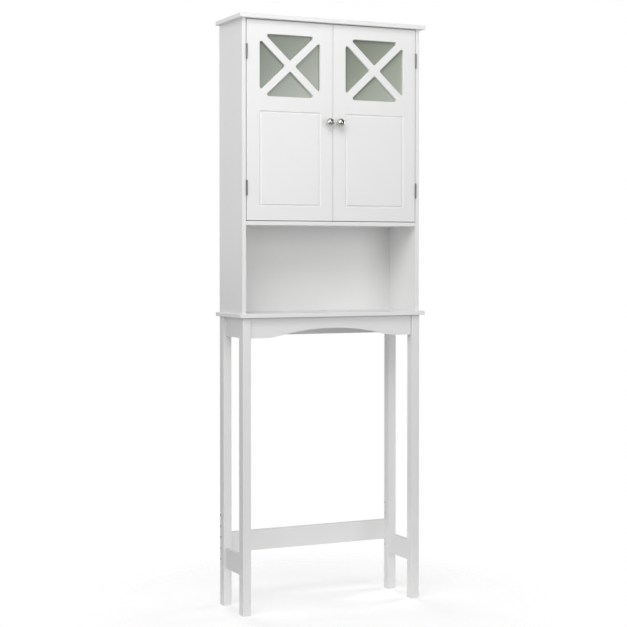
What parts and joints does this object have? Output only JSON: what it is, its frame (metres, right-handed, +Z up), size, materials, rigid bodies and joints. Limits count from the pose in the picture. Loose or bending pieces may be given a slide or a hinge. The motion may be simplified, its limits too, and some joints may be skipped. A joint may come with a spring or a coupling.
{
  "type": "over the toilet storage rack",
  "caption": "Tall narrow bathroom cabinet on legs that straddles a toilet, with glazed hinged doors over an open shelf.",
  "frame": {"origin": "on the floor, midway across the rack and midway between the wall plane and the tips of the door knobs", "axes": "+Z up, +Y to the wall, +X to the right for someone facing the doors"},
  "size_m": [0.59, 0.2036, 1.7],
  "materials": {
    "painted_board": "satin white lacquer on fibreboard",
    "painted_hardboard": "thin hardboard, white face",
    "tinted_glass": "clear tempered, faint green",
    "bright_chrome": "polished plate",
    "hinge_steel": "nickel plated",
    "zinc_plated_steel": "zinc plated",
    "cast_zinc": "cast zinc",
    "dowel_beech": "bare beech",
    "white_plastic": "moulded",
    "magnet": "sintered ferrite"
  },
  "bodies": {
    "cabinet": {"adjustable_shelf": "painted_board", "apron_brackets": "zinc_plated_steel", "back_panel": "painted_hardboard", "base_board": "painted_board", "bracket_screws": "zinc_plated_steel", "cam_bolts": "zinc_plated_steel", "cam_locks": "cast_zinc", "catch_magnets": "magnet", "catch_screws": "zinc_plated_steel", "fixed_shelf": "painted_board", "frame_leaf_screws": "hinge_steel", "front_apron": "painted_board", "front_left_leg": "painted_board", "front_right_leg": "painted_board", "left_apron": "painted_board", "left_hinge_pins": "hinge_steel", "left_lower_frame_leaf": "hinge_steel", "left_lower_rail": "painted_board", "left_side_panel": "painted_board", "left_upper_frame_leaf": "hinge_steel", "leg_dowels": "dowel_beech", "magnetic_catch": "white_plastic", "panel_dowels": "dowel_beech", "panel_screws": "zinc_plated_steel", "rail_dowels": "dowel_beech", "rear_apron": "painted_board", "rear_left_leg": "painted_board", "rear_right_leg": "painted_board", "rear_stretcher": "painted_board", "right_apron": "painted_board", "right_hinge_pins": "hinge_steel", "right_lower_frame_leaf": "hinge_steel", "right_lower_rail": "painted_board", "right_side_panel": "painted_board", "right_upper_frame_leaf": "hinge_steel", "shelf_pins": "zinc_plated_steel", "stretcher_bolts": "zinc_plated_steel", "top_board": "painted_board"},
    "left_door": {"left_door_panel": "painted_board", "left_glass": "tinted_glass", "left_glass_clips": "zinc_plated_steel", "left_clip_screws": "zinc_plated_steel", "left_knob": "bright_chrome", "left_knob_screw": "zinc_plated_steel", "left_upper_door_leaf": "hinge_steel", "left_lower_door_leaf": "hinge_steel", "left_door_leaf_screws": "hinge_steel", "left_strike_plate": "zinc_plated_steel", "left_strike_screw": "zinc_plated_steel"},
    "right_door": {"right_door_panel": "painted_board", "right_glass": "tinted_glass", "right_glass_clips": "zinc_plated_steel", "right_clip_screws": "zinc_plated_steel", "right_knob": "bright_chrome", "right_knob_screw": "zinc_plated_steel", "right_upper_door_leaf": "hinge_steel", "right_lower_door_leaf": "hinge_steel", "right_door_leaf_screws": "hinge_steel", "right_strike_plate": "zinc_plated_steel", "right_strike_screw": "zinc_plated_steel"}
  },
  "joints": [
    {"name": "left_door_hinge", "type": "hinge", "parent": "cabinet", "child": "left_door", "pos_m": [-0.27, -0.07585, 1.4035], "axis": [0, 0, -1], "range_deg": [0, 180]},
    {"name": "right_door_hinge", "type": "hinge", "parent": "cabinet", "child": "right_door", "pos_m": [0.27, -0.07585, 1.4035], "axis": [0, 0, 1], "range_deg": [0, 180]}
  ]
}
